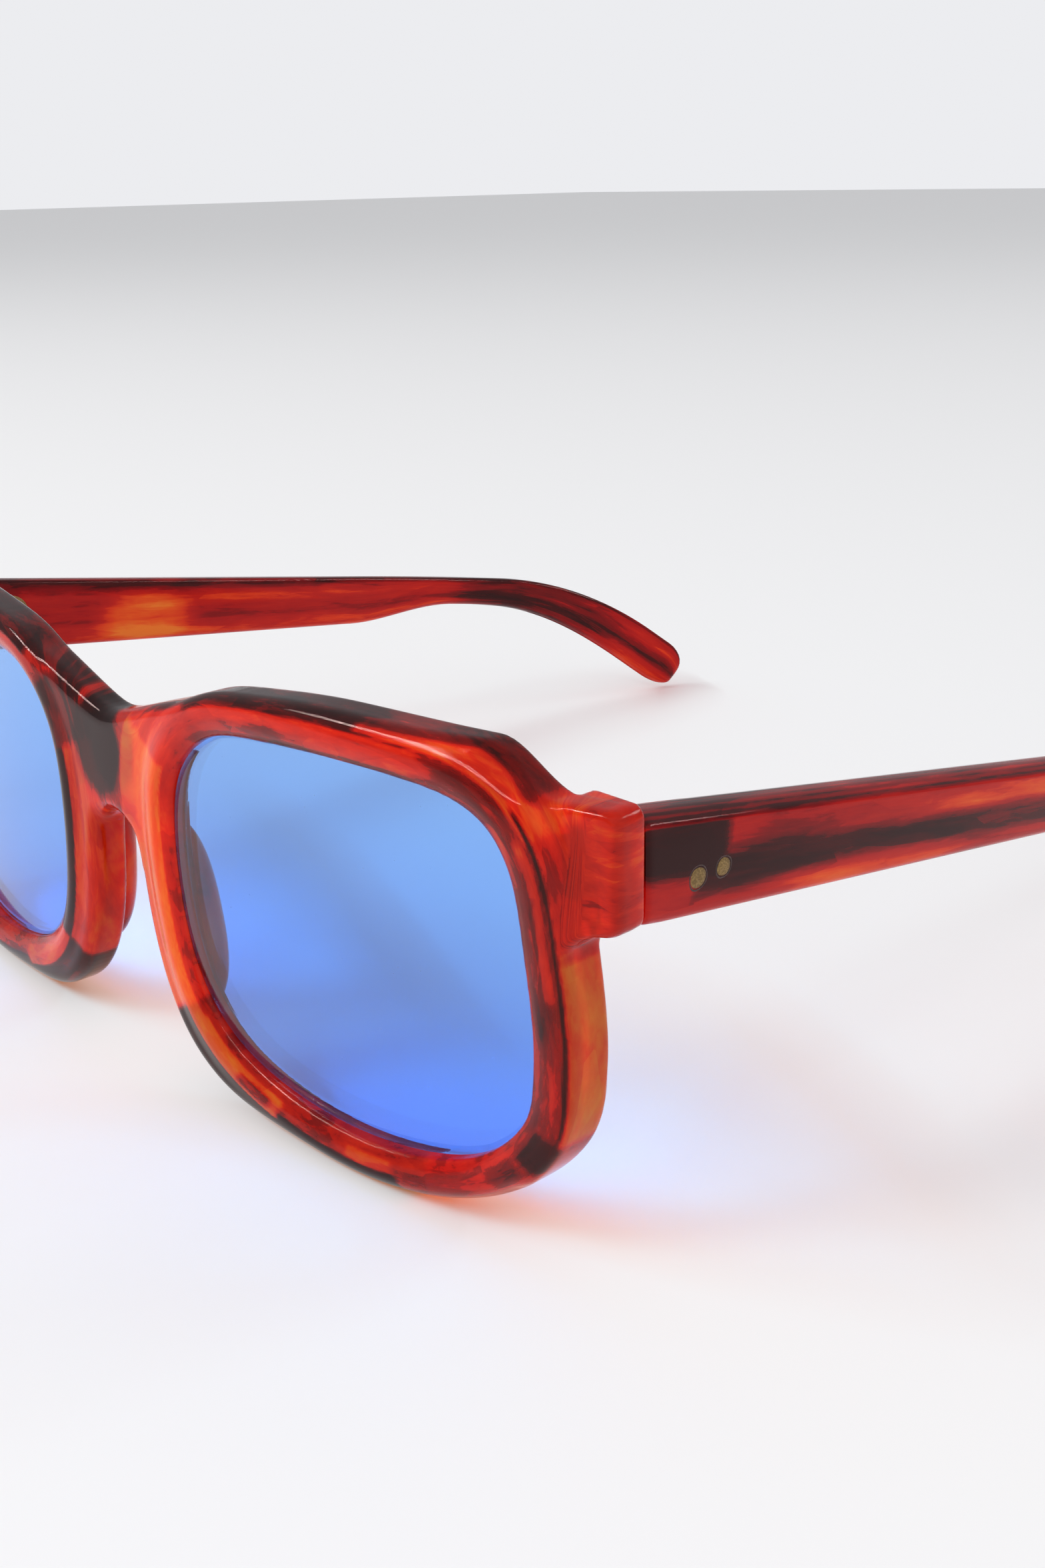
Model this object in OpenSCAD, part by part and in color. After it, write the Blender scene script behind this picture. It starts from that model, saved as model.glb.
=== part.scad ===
// Thick acetate spectacle frame with tinted lenses and riveted folding temples.
// X runs across the face with the wearer's left at +X, the front faces -Y and the temples run back along +Y.
// The frame stands on a table at Z = 0, on its lower rims and its two temple tips.

/* [Lenses] */
// Width of each lens opening
opening_w = 47; // [42:0.5:54]
// Height of each lens opening
opening_h = 39; // [34:0.5:44]
// Gap between the two lens openings, across the bridge
opening_gap = 23; // [20:0.5:27]
// Thickness of a lens
lens_t = 3; // [2.4:0.1:3.2]
// Radius of a lens's front surface
lens_r = 180; // [140:5:260]
// Setback of a lens's front surface behind the face of the front, at the lens centre
lens_setback = 0.5; // [0.3:0.1:1]
// Depth of the groove that holds a lens
groove_depth = 0.9; // [0.5:0.1:1.2]
// Width of the groove that holds a lens
groove_w = 0.9; // [0.6:0.1:1.4]

/* [Front] */
// Width of the rim round a lens opening
rim_w = 4.3; // [3.8:0.1:6]
// Extra rim width beside the nose
nose_rim_extra = 2.7; // [1:0.1:3.2]
// Thickness of the front
front_t = 4.8; // [4.4:0.1:6]
// Radius of the front's curve, seen from above
wrap_r = 260; // [200:10:500]
// Lowest point of the bridge's upper edge, below the top of the rims
bridge_dip = 7.3; // [5:0.1:10]
// Height of the bridge at the middle
bridge_h = 11.5; // [8:0.1:14]

/* [Endpieces] */
// Distance from a lens opening to the outer side of the endpiece
endpiece_reach = 7.2; // [7:0.1:10]
// Height of an endpiece
endpiece_h = 11.2; // [9.8:0.1:13]
// Distance from the top of the rims down to the top of an endpiece
endpiece_drop = 4.2; // [3.5:0.1:7]

/* [Nose pads] */
// Length of a nose pad between the centres of its round ends
pad_len = 15; // [10:0.5:17]
// Height of a nose pad above the back of the rim
pad_r = 3.2; // [2.4:0.1:3.6]
// Lean of a nose pad, following the side of the nose
pad_lean = 10; // [4:1:16]

/* [Temples] */
// Thickness of a temple at the hinge
temple_t = 4.5; // [3.8:0.1:5.5]
// Thickness of a temple at its tip
tip_t = 3.5; // [2.8:0.1:4.5]
// Height of a temple at the hinge
temple_h = 10.1; // [8.6:0.1:10.8]
// Height of a temple where its broad part ends
temple_mid_h = 7.8; // [6.4:0.1:8.6]
// Height of the narrow neck over the ear
neck_h = 4.7; // [3.4:0.1:5.6]
// Height of the paddle at the tip
paddle_h = 7.4; // [5.8:0.1:8.4]
// Length of the broad part of a temple
broad_len = 70; // [58:1:74]
// Length over which a temple narrows from its broad part to its neck
neck_taper = 22; // [10:1:22]
// Length of a temple's top edge before it bends down
straight_len = 102; // [98:1:114]
// Slope of the temples down to the table, in degrees
temple_slope = 9.6; // [7:0.1:12]
// Angle of the bend over the ear, in degrees
bend_angle = 30; // [20:1:45]
// Radius of the bend over the ear
bend_r = 62; // [45:1:80]
// Outward splay of a temple, in degrees
splay = 1.7; // [0:0.1:3]
// Radius of the inward curve of a temple's rear part, seen from above
tip_curve_r = 150; // [120:5:240]

/* [Hinges] */
// Radius of a hinge knuckle
knuckle_r = 1.3; // [1.1:0.05:1.4]
// Height of one hinge knuckle
knuckle_h = 1.15; // [0.9:0.05:1.3]
// Gap between neighbouring knuckles
knuckle_gap = 0.1; // [0.05:0.01:0.15]
// Radius of the hinge screw's shank
screw_r = 0.65; // [0.5:0.05:0.75]
// Radial clearance of the hinge screw in its knuckles
screw_fit = 0.05; // [0.02:0.01:0.08]
// Radius of the hinge screw's head
screw_head_r = 1.1; // [0.95:0.05:1.25]
// Height of the hinge screw's head
screw_head_h = 0.7; // [0.5:0.1:1]
// Thickness of the hinge plates
plate_t = 0.9; // [0.7:0.1:1.2]
// Length of the plate riveted into a temple
plate_len = 10.4; // [9:0.1:13]
// Height of the hinge plates
plate_h = 5.4; // [4.6:0.1:5.8]
// Depth to which the front hinge's anchor is sunk into the endpiece
anchor_depth = 3; // [2:0.1:3.4]
// Half width of the foot at the end of the anchor
anchor_foot = 0.9; // [0.7:0.1:1]
// Radius of a temple rivet
rivet_r = 0.8; // [0.6:0.05:1]
// Distance from the temple's front end to its front rivet
rivet_start = 6.2; // [5:0.1:7]
// Distance between the two rivets of a temple
rivet_pitch = 3.2; // [2.6:0.1:3.5]
// Stagger of the rivets above and below the middle of the temple
rivet_stagger = 0.3; // [0:0.05:0.5]
// Distance of the rivets below the middle of the temple
rivet_drop = 0.9; // [0:0.1:1]

/* [Clearances] */
// Gap between the endpiece and the temple's front end when the temple is open
joint_gap = 0.15; // [0.1:0.05:0.3]
// Gap between a hinge knuckle and the acetate beside it
knuckle_clear = 0.2; // [0.15:0.05:0.4]
// Gap between a lens and its rim
lens_fit = 0.05; // [0.03:0.01:0.1]
// Glue line between a nose pad and the back of the rim
pad_glue = 0.08; // [0.05:0.01:0.15]

/* [Hidden] */
$fn = 96;
wrap_fn = 360;
lens_fn = 240;
sides = ["left", "right"];

rim_bottom_z = 0;
lens_x = (opening_gap + opening_w) / 2;
lens_z = rim_bottom_z + rim_w + opening_h / 2;
rim_top_z = lens_z + opening_h / 2 + rim_w;
opening_outer_x = lens_x + opening_w / 2;

endpiece_x = opening_outer_x + endpiece_reach;
endpiece_top_z = rim_top_z - endpiece_drop;
endpiece_bottom_z = endpiece_top_z - endpiece_h;
endpiece_corner_r = 1.3;

// Depth of the curved face behind its foremost point, at a distance x from the middle
function wrap_y(x) = wrap_r - sqrt(wrap_r * wrap_r - x * x);
// Depth of the flat joint, level with the back of the front at the endpiece's outer side
joint_y = wrap_r - sqrt(pow(wrap_r - front_t, 2) - endpiece_x * endpiece_x);
block_x = opening_outer_x + 0.6;

hinge_z = endpiece_bottom_z + temple_h / 2;
temple_inner_x = endpiece_x - temple_t;
hinge_x = temple_inner_x - knuckle_clear - knuckle_r;
hinge_y = joint_y + knuckle_clear + knuckle_r;
knuckle_count = 5;
knuckle_step = knuckle_h + knuckle_gap;
stack_h = knuckle_count * knuckle_step - knuckle_gap;

temple_y = joint_y + joint_gap;
temple_top_z = hinge_z + temple_h / 2;
plate_gap = 0.3;

// Round-number outline of a lens opening: [across, up] from its centre, as shares of the half sizes.
// The first number grows away from the nose.
lens_shape = [
    [1.00, -0.22], [0.97, 0.26], [0.90, 0.70], [0.72, 0.92], [0.34, 0.985], [-0.28, 0.97],
    [-0.70, 0.89], [-0.95, 0.62], [-1.00, 0.16], [-0.92, -0.42], [-0.70, -0.77],
    [-0.30, -0.95], [0.20, -0.99], [0.66, -0.87], [0.94, -0.58]
];
curve_steps = 4;

function catmull(a, b, c, d, t) =
    0.5 * (2 * b + (c - a) * t + (2 * a - 5 * b + 4 * c - d) * t * t + (3 * b - a - 3 * c + d) * t * t * t);

// Smooth closed curve through a ring of points
function closed_curve(ring, steps) = let (n = len(ring)) [
    for (i = [0 : n - 1], k = [0 : steps - 1])
        catmull(ring[(i + n - 1) % n], ring[i], ring[(i + 1) % n], ring[(i + 2) % n], k / steps)
];

lens_curve = closed_curve(lens_shape, curve_steps);
opening_curve = [for (p = lens_curve) [lens_x + p[0] * opening_w / 2, lens_z + p[1] * opening_h / 2]];

// Unit normal that points out of a ring of points, at one of them
function outward(ring, i) =
    let (n = len(ring), run = ring[(i + 1) % n] - ring[(i + n - 1) % n])
    [run[1], -run[0]] / norm(run);

function clamp01(v) = min(1, max(0, v));

// Smooth step from 0 to 1
function ease(t) = let (c = clamp01(t)) c * c * (3 - 2 * c);

// Share of nose_rim_extra that the rim gets at one point of the lens shape: none on top, all beside the nose
function nose_share(p) = ease((-p[0] - 0.1) / 0.8) * ease((0.85 - p[1]) / 0.7);

function grown_opening(gap) = [
    for (i = [0 : len(opening_curve) - 1]) opening_curve[i] + gap * outward(opening_curve, i)
];
rim_curve = [
    for (i = [0 : len(opening_curve) - 1])
        opening_curve[i] + (rim_w + nose_rim_extra * nose_share(lens_curve[i])) * outward(opening_curve, i)
];

// Arc from one angle to another, as points
function arc(centre, r, from, to, count) = [
    for (k = [0 : count]) let (a = from + (to - from) * k / count) centre + r * [cos(a), sin(a)]
];

// Brow corner and endpiece, seen from the front: the rim's top eases down to the endpiece's
brow_x = opening_outer_x - 6;
brow_len = 8;
brow_edge = [
    for (k = [0 : 8])
        let (t = k / 8) [brow_x + brow_len * t, rim_top_z - endpiece_drop * ease(t)]
];
endpiece_outline = concat(
    [[brow_x - 3, rim_top_z - rim_w], [brow_x - 3, rim_top_z]],
    brow_edge,
    arc([endpiece_x - endpiece_corner_r, endpiece_top_z - endpiece_corner_r], endpiece_corner_r, 90, 0, 6),
    arc([endpiece_x - endpiece_corner_r, endpiece_bottom_z + endpiece_corner_r], endpiece_corner_r, 0, -90, 6),
    [
        [opening_outer_x + rim_w + 0.7, endpiece_bottom_z - 0.5],
        [opening_outer_x + rim_w, endpiece_bottom_z - 2.4],
        [opening_outer_x + rim_w / 2, endpiece_bottom_z - 3],
        [opening_outer_x - 3, endpiece_bottom_z]
    ]
);

// Bridge, seen from the front: its upper edge rises from the dip to the rims' tops and runs on to the brow corners
bridge_span = 37;
bridge_soft = 3;
bridge_half_w = opening_gap / 2 - 2.5;
bridge_top_z = rim_top_z - bridge_dip;
bridge_arch_r = 5.2;
bridge_arch_z = bridge_top_z - bridge_h - bridge_arch_r;
function rise_share(x) = max(0, 1 - sqrt(x * x + bridge_soft * bridge_soft) / bridge_span);
function bridge_edge_z(x) = rim_top_z - bridge_dip * pow(rise_share(x) / rise_share(0), 1.8);
bridge_end_x = brow_x - 2.5;
bridge_polygon = concat(
    [[-bridge_end_x, rim_top_z]],
    [for (x = [-bridge_span : 2 : bridge_span]) [x, bridge_edge_z(x)]],
    [
        [bridge_end_x, rim_top_z], [bridge_end_x, lens_z + opening_h / 4],
        [bridge_half_w, bridge_arch_z], [-bridge_half_w, bridge_arch_z],
        [-bridge_end_x, lens_z + opening_h / 4]
    ]
);

// Path of a temple's top edge, seen from the side, as [y, z]; s is the distance along it
function top_edge(s) =
    let (bent = min(bend_angle, max(0, s - straight_len) / bend_r * 180 / PI),
         past = max(0, s - straight_len - bend_r * bend_angle * PI / 180),
         a = temple_slope,
         reach = min(s, straight_len))
    [temple_y + reach * cos(a) + bend_r * (sin(a + bent) - sin(a)) + past * cos(a + bent),
     temple_top_z - reach * sin(a) - bend_r * (cos(a) - cos(a + bent)) - past * sin(a + bent)];

function edge_angle(s) = temple_slope + min(bend_angle, max(0, s - straight_len) / bend_r * 180 / PI);

bend_end = straight_len + bend_r * bend_angle * PI / 180;
tip_angle = temple_slope + bend_angle;
// The tip's straight length is what brings its lower edge down to the table
tip_len = (top_edge(bend_end)[1] - paddle_h * cos(tip_angle)) / sin(tip_angle);
temple_len = bend_end + tip_len;

// Height of a temple, across its top edge, at a distance s along it
neck_start = broad_len + neck_taper;
neck_end = max(neck_start, straight_len - 8);
function temple_height(s) =
    s < broad_len ? temple_h + (temple_mid_h - temple_h) * s / broad_len
    : s < neck_end ? temple_mid_h + (neck_h - temple_mid_h) * ease((s - broad_len) / (neck_start - broad_len))
    : neck_h + (paddle_h - neck_h) * ease((s - neck_end) / (bend_end - neck_end));

side_step = 4;
side_stops = concat([for (s = [0 : side_step : temple_len - 6]) s], [temple_len - 5, temple_len - 3.4]);
tip_stops = [[temple_len - 1.7, 0.13], [temple_len - 0.6, 0.34], [temple_len, 0.7], [temple_len - 0.2, 1]];
function below(s, drop) = let (a = edge_angle(s)) top_edge(s) + drop * [-sin(a), -cos(a)];
temple_side = concat(
    [[temple_y, top_edge(0)[1]]],
    [for (s = side_stops) if (s > 0) top_edge(s)],
    [for (t = tip_stops) below(t[0], t[1] * temple_height(t[0]))],
    [for (i = [len(side_stops) - 1 : -1 : 1]) below(side_stops[i], temple_height(side_stops[i]))],
    [[temple_y, top_edge(0)[1] - temple_h]]
);
temple_end_y = max([for (p = temple_side) p[0]]);

// Outer face of a temple, seen from above, at a distance y from the front
curve_start_y = temple_y + broad_len;
function outer_x(y) =
    let (straight = endpiece_x + (min(y, curve_start_y) - temple_y) * tan(splay), past = y - curve_start_y)
    past <= 0 ? straight : straight + past * tan(splay) - (tip_curve_r - sqrt(pow(tip_curve_r, 2) - past * past));
function thickness(y) = temple_t + (tip_t - temple_t) * clamp01((y - temple_y) / (temple_end_y - temple_y));
plan_stops = concat([temple_y], [for (k = [0 : 12]) curve_start_y + (temple_end_y + 1 - curve_start_y) * k / 12]);
temple_plan = concat(
    [for (y = plan_stops) [outer_x(y), y]],
    [for (i = [len(plan_stops) - 1 : -1 : 0]) [outer_x(plan_stops[i]) - thickness(plan_stops[i]), plan_stops[i]]]
);

// Everything is drawn with the middle of the front's face at Y = 0, then moved so that the box is centred on Y
// and its lowest point, on the rims or the tips, is at Z = 0
centre_y = temple_end_y / 2;
lowest_z = min([for (p = concat(rim_curve, temple_side)) p[1]]);
stand = [0, -centre_y, -lowest_z];

// Puts a piece drawn for the wearer's left on the side it is asked for
module on_side(side) {
    translate(stand)
        mirror([side == "left" ? 0 : 1, 0, 0])
            children();
}

// Outline drawn from the front, as a prism that runs back from Y = 0
module prism(depth) {
    translate([0, depth, 0])
        rotate([90, 0, 0])
            linear_extrude(height = depth)
                children();
}

// Everything behind the surface that follows the front's curve at a given depth
module behind_face(depth) {
    translate([0, wrap_r, -1])
        cylinder(r = wrap_r - depth, h = rim_top_z + 2, $fn = wrap_fn);
}

// Everything behind a lens-shaped surface at a given depth below the lens's front
module behind_lens(depth) {
    translate([0, wrap_r, lens_z])
        rotate([0, 0, asin(lens_x / wrap_r)])
            translate([0, lens_r - wrap_r + lens_setback, 0])
                sphere(r = lens_r - depth, $fn = lens_fn);
}

module lens_layer(gap, from, to) {
    intersection() {
        prism(joint_y + 2) polygon(grown_opening(gap));
        difference() {
            behind_lens(from);
            behind_lens(to);
        }
    }
}

module bridge_outline() {
    difference() {
        polygon(bridge_polygon);
        translate([0, bridge_arch_z]) circle(r = bridge_arch_r);
    }
}

module front_half_outline() {
    polygon(rim_curve);
    polygon(endpiece_outline);
}

// Flat-backed block behind each endpiece that the temple closes against
module endpiece_block() {
    intersection() {
        prism(joint_y) polygon(endpiece_outline);
        behind_face(0);
        translate([block_x, 0, 0]) cube([endpiece_reach, joint_y, rim_top_z]);
    }
}

module front_frame() {
    color("firebrick")
        translate(stand)
            difference() {
                union() {
                    intersection() {
                        prism(joint_y + 2) {
                            bridge_outline();
                            front_half_outline();
                            mirror([1, 0]) front_half_outline();
                        }
                        difference() {
                            behind_face(0);
                            behind_face(front_t);
                        }
                    }
                    endpiece_block();
                    mirror([1, 0, 0]) endpiece_block();
                }
                for (turn = [0, 1])
                    mirror([turn, 0, 0]) {
                        translate([0, -1, 0]) prism(joint_y + 3) polygon(opening_curve);
                        lens_layer(groove_depth, (lens_t - groove_w) / 2, (lens_t + groove_w) / 2);
                        front_hinge_anchor();
                    }
            }
}

module lens(side) {
    color("cornflowerblue", 0.6)
        on_side(side)
            union() {
                lens_layer(-lens_fit, 0, lens_t);
                lens_layer(groove_depth - lens_fit, (lens_t - groove_w) / 2 + lens_fit, (lens_t + groove_w) / 2 - lens_fit);
            }
}

// Pad glued along the nose side of the rim's back
pad_top = [opening_gap / 2 - rim_w / 2 - nose_rim_extra / 2 + 0.1, lens_z + 3];
module nose_pad(side) {
    color("brown")
        on_side(side)
            intersection() {
                translate([pad_top[0], wrap_y(pad_top[0]) + front_t + pad_glue, pad_top[1]])
                    rotate([0, 180 - pad_lean, 0])
                        union() {
                            cylinder(r = pad_r, h = pad_len);
                            sphere(r = pad_r);
                            translate([0, 0, pad_len]) sphere(r = pad_r);
                        }
                behind_face(front_t + pad_glue);
            }
}

// Lower end of one hinge knuckle, counted from the bottom
function knuckle_z(i) = hinge_z - stack_h / 2 + i * knuckle_step;

module knuckle(i, arm_size, arm_at) {
    translate([0, 0, knuckle_z(i)])
        difference() {
            union() {
                translate([hinge_x, hinge_y, 0]) cylinder(r = knuckle_r, h = knuckle_h);
                translate(concat(arm_at, 0)) cube(concat(arm_size, knuckle_h));
            }
            translate([hinge_x, hinge_y, -1]) cylinder(r = screw_r + screw_fit, h = knuckle_h + 2);
        }
}

// Plate and foot sunk into the endpiece
module front_hinge_anchor() {
    translate([hinge_x - plate_t / 2, joint_y - anchor_depth, hinge_z - plate_h / 2])
        cube([plate_t, anchor_depth, plate_h]);
    translate([hinge_x - anchor_foot, joint_y - anchor_depth, hinge_z - plate_h / 2])
        cube([2 * anchor_foot, plate_t, plate_h]);
}

module front_hinge(side) {
    color("goldenrod")
        on_side(side)
            union() {
                front_hinge_anchor();
                for (i = [0 : 2 : knuckle_count - 1])
                    knuckle(i, [plate_t, hinge_y - joint_y], [hinge_x - plate_t / 2, joint_y]);
            }
}

module hinge_screw(side) {
    slot_w = 0.3;
    color("darkgoldenrod")
        on_side(side)
            translate([hinge_x, hinge_y, knuckle_z(0)])
                difference() {
                    union() {
                        cylinder(r = screw_r, h = stack_h);
                        translate([0, 0, stack_h]) cylinder(r = screw_head_r, h = screw_head_h);
                    }
                    translate([-screw_head_r - 1, -slot_w / 2, stack_h + screw_head_h / 2])
                        cube([2 * screw_head_r + 2, slot_w, screw_head_h]);
                }
}

// Plate with a round rear end, set flush into the temple's inner face and sloping with it
module temple_plate() {
    front_y = temple_y + plate_gap;
    translate([temple_inner_x, front_y, hinge_z])
        rotate([1 - temple_slope, 0, 0])
            rotate([0, 90, 0])
                linear_extrude(height = plate_t) {
                    translate([-plate_h / 2, 0]) square([plate_h, plate_len - plate_h / 2]);
                    translate([0, plate_len - plate_h / 2]) circle(r = plate_h / 2);
                }
}

// The temples lean out by the splay angle about the inner corner of their front end
module splayed() {
    translate([temple_inner_x, temple_y, 0])
        rotate([0, 0, -splay])
            translate([-temple_inner_x, -temple_y, 0])
                children();
}

function rivet_y(k) = temple_y + rivet_start + k * rivet_pitch;
function rivet_z(k) =
    hinge_z - rivet_drop - (rivet_start + k * rivet_pitch) * tan(temple_slope - 1) + (2 * k - 1) * rivet_stagger;

module rivet_shank(k) {
    splayed()
        translate([temple_inner_x, rivet_y(k), rivet_z(k)])
            rotate([0, 90, 0])
                cylinder(r = rivet_r, h = temple_t - 0.1);
}

module temple_hinge(side) {
    color("goldenrod")
        on_side(side)
            union() {
                difference() {
                    splayed() temple_plate();
                    rivet_shank(0);
                    rivet_shank(1);
                }
                for (i = [1 : 2 : knuckle_count - 1])
                    knuckle(i, [temple_inner_x + plate_t / 2 - hinge_x, plate_t], [hinge_x, hinge_y - plate_t / 2]);
            }
}

module temple(side) {
    color("maroon")
        on_side(side)
            difference() {
                intersection() {
                    rotate([90, 0, 90]) linear_extrude(height = 2 * endpiece_x) polygon(temple_side);
                    linear_extrude(height = rim_top_z) polygon(temple_plan);
                }
                splayed() temple_plate();
                rivet_shank(0);
                rivet_shank(1);
            }
}

module rivet(side, k) {
    color("darkkhaki")
        on_side(side)
            rivet_shank(k);
}

front_frame();
for (side = sides) {
    lens(side);
    nose_pad(side);
    front_hinge(side);
    hinge_screw(side);
    temple(side);
    temple_hinge(side);
    rivet(side, 0);
    rivet(side, 1);
}
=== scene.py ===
"""Looks of the tinted acetate glasses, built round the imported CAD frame."""

import math

import bmesh
import bpy
import numpy as np
from mathutils import Matrix, Vector


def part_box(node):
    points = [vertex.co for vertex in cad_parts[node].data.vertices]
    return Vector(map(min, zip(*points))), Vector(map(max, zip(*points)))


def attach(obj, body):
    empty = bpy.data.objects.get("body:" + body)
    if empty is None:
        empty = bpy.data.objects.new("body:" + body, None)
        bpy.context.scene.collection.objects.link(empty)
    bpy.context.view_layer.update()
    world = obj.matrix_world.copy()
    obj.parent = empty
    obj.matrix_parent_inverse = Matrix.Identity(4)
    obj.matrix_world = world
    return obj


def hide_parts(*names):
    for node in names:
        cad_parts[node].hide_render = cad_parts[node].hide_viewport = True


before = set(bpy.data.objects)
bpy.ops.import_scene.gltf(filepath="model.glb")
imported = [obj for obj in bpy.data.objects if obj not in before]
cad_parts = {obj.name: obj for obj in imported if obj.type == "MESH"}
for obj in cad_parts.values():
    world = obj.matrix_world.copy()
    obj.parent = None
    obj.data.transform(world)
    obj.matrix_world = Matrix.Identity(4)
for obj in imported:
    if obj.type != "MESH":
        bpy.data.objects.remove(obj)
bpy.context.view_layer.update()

# Everything is drawn in millimetres with the middle of the front's face at Y = 0, as in the CAD source.
RIM_TOP = 47.6
front_low, front_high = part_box("front_frame")
SHIFT = np.array([0.0, front_low.y * 1000, front_high.z * 1000 - RIM_TOP])


def placed(points):
    """Points in the drawing's millimetres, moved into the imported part's frame in metres."""
    return (np.asarray(points, float) + SHIFT) / 1000


# ---------------------------------------------------------------- sizes, as in the CAD
OPEN_W, OPEN_H = 47.0, 39.0
LENS_X, LENS_Z = 35.0, 23.8
OPEN_OUTER = LENS_X + OPEN_W / 2
RIM_W, NOSE_EXTRA = 4.3, 2.7
FRONT_T, WRAP_R = 4.8, 260.0
END_X = OPEN_OUTER + 7.2
END_DROP = 4.2
END_TOP = RIM_TOP - END_DROP
END_BOTTOM = END_TOP - 11.2
END_CORNER_R = 1.3
JOINT_Y = WRAP_R - math.sqrt((WRAP_R - FRONT_T) ** 2 - END_X**2)
BLOCK_X = OPEN_OUTER + 0.6
BRIDGE_DIP, BRIDGE_SPAN = 7.3, 37.0
ARCH_R = 5.2
ARCH_Z = RIM_TOP - BRIDGE_DIP - 11.5 - ARCH_R
LENS_SHAPE = [
    (1.00, -0.22), (0.97, 0.26), (0.90, 0.70), (0.72, 0.92), (0.34, 0.985), (-0.28, 0.97),
    (-0.70, 0.89), (-0.95, 0.62), (-1.00, 0.16), (-0.92, -0.42), (-0.70, -0.77),
    (-0.30, -0.95), (0.20, -0.99), (0.66, -0.87), (0.94, -0.58),
]
TEMPLE_Y = JOINT_Y + 0.15
TEMPLE_T, TIP_T = 4.5, 3.5
TEMPLE_H, MID_H, NECK_H, PADDLE_H = 10.1, 7.8, 4.7, 7.4
BROAD, NECK_TAPER, STRAIGHT, BEND_R = 70.0, 22.0, 102.0, 62.0
SLOPE, BEND, SPLAY = math.radians(9.6), math.radians(30), math.radians(1.7)
TIP_CURVE_R = 150.0
CROWN, DOME = 0.9, 0.12
HINGE_Z = END_BOTTOM + TEMPLE_H / 2
TEMPLE_TOP = HINGE_Z + TEMPLE_H / 2


def ease(t):
    """Smooth step: 0 below 0, 1 above 1, and level at both ends."""
    c = np.clip(t, 0.0, 1.0)
    return c * c * (3 - 2 * c)


def wrap_y(x):
    """How far back the front's curved face lies at a distance from the middle."""
    return WRAP_R - np.sqrt(WRAP_R**2 - np.asarray(x, float) ** 2)


def closed_curve(ring, steps):
    """Smooth closed curve through a ring of points."""
    ring = np.array(ring, float)
    before, after, later = np.roll(ring, 1, 0), np.roll(ring, -1, 0), np.roll(ring, -2, 0)
    out = []
    for k in range(steps):
        t = k / steps
        bend = 2 * before - 5 * ring + 4 * after - later
        twist = 3 * ring - before - 3 * after + later
        out.append(0.5 * (2 * ring + (after - before) * t + bend * t * t + twist * t**3))
    return np.stack(out, 1).reshape(-1, 2)


def outward(ring):
    """Unit vectors that point out of a ring of points drawn counterclockwise."""
    run = np.roll(ring, -1, 0) - np.roll(ring, 1, 0)
    return np.stack([run[:, 1], -run[:, 0]], 1) / np.linalg.norm(run, axis=1)[:, None]


LENS_CURVE = closed_curve(LENS_SHAPE, 12)
OPENING = np.array([LENS_X, LENS_Z]) + LENS_CURVE * [OPEN_W / 2, OPEN_H / 2]
NOSE_SHARE = ease((-LENS_CURVE[:, 0] - 0.1) / 0.8) * ease((0.85 - LENS_CURVE[:, 1]) / 0.7)
RIM_OUTER = OPENING + (RIM_W + NOSE_EXTRA * NOSE_SHARE)[:, None] * outward(OPENING)


def bridge_edge(x):
    """Upper edge of the bridge: lowest in the middle and rising to the tops of the rims."""
    soft = 3.0
    share = np.clip(1 - np.sqrt(x * x + soft * soft) / BRIDGE_SPAN, 0, None)
    return RIM_TOP - BRIDGE_DIP * (share / (1 - soft / BRIDGE_SPAN)) ** 1.8


def upper_outline():
    """Front view of one half of the brow line, from across the bridge to the endpiece."""
    across = np.linspace(-8, BRIDGE_SPAN, 46)
    top = np.stack([across, bridge_edge(across)], 1)
    t = np.linspace(0, 1, 17)
    brow = np.stack([OPEN_OUTER - 6 + 8 * t, RIM_TOP - END_DROP * ease(t)], 1)
    turn = np.radians(np.linspace(90, 0, 7))
    corner = END_CORNER_R * np.stack([np.cos(turn), np.sin(turn)], 1)
    upper = corner + [END_X - END_CORNER_R, END_TOP - END_CORNER_R]
    lower = corner[::-1] * [1, -1] + [END_X - END_CORNER_R, END_BOTTOM + END_CORNER_R]
    inside = [(OPEN_OUTER, END_BOTTOM), (LENS_X, LENS_Z + 2), (LENS_X - 14, LENS_Z), (9.0, ARCH_Z)]
    arch_angle = np.linspace(math.pi / 2 - 1.5, math.pi / 2 + 1.5, 15)
    arch = np.stack([ARCH_R * np.cos(arch_angle), ARCH_Z + ARCH_R * np.sin(arch_angle)], 1)
    return np.concatenate([top, brow, upper, lower, inside, arch, [(-8.0, ARCH_Z)]])


def polygon_distance(ring, across, up):
    """Signed distance to a closed outline, negative inside, on arrays of points."""
    best = np.full(across.shape, 1e9)
    inside = np.zeros(across.shape, bool)
    for a, b in zip(ring, np.roll(ring, -1, 0)):
        run = b - a
        share = ((across - a[0]) * run[0] + (up - a[1]) * run[1]) / max(run @ run, 1e-9)
        share = np.clip(share, 0, 1)
        gap = (across - a[0] - share * run[0]) ** 2 + (up - a[1] - share * run[1]) ** 2
        best = np.minimum(best, gap)
        if a[1] != b[1]:
            crosses = (a[1] > up) != (b[1] > up)
            inside ^= crosses & (across < run[0] * (up - a[1]) / run[1] + a[0])
    return np.sqrt(best) * np.where(inside, -1, 1)


def cut_round(a, b, r):
    """Intersection of two distance fields whose shared edge is rounded with radius r."""
    corner = np.sqrt(np.maximum(a + r, 0) ** 2 + np.maximum(b + r, 0) ** 2)
    return np.minimum(-r, np.maximum(a, b)) + corner


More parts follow.
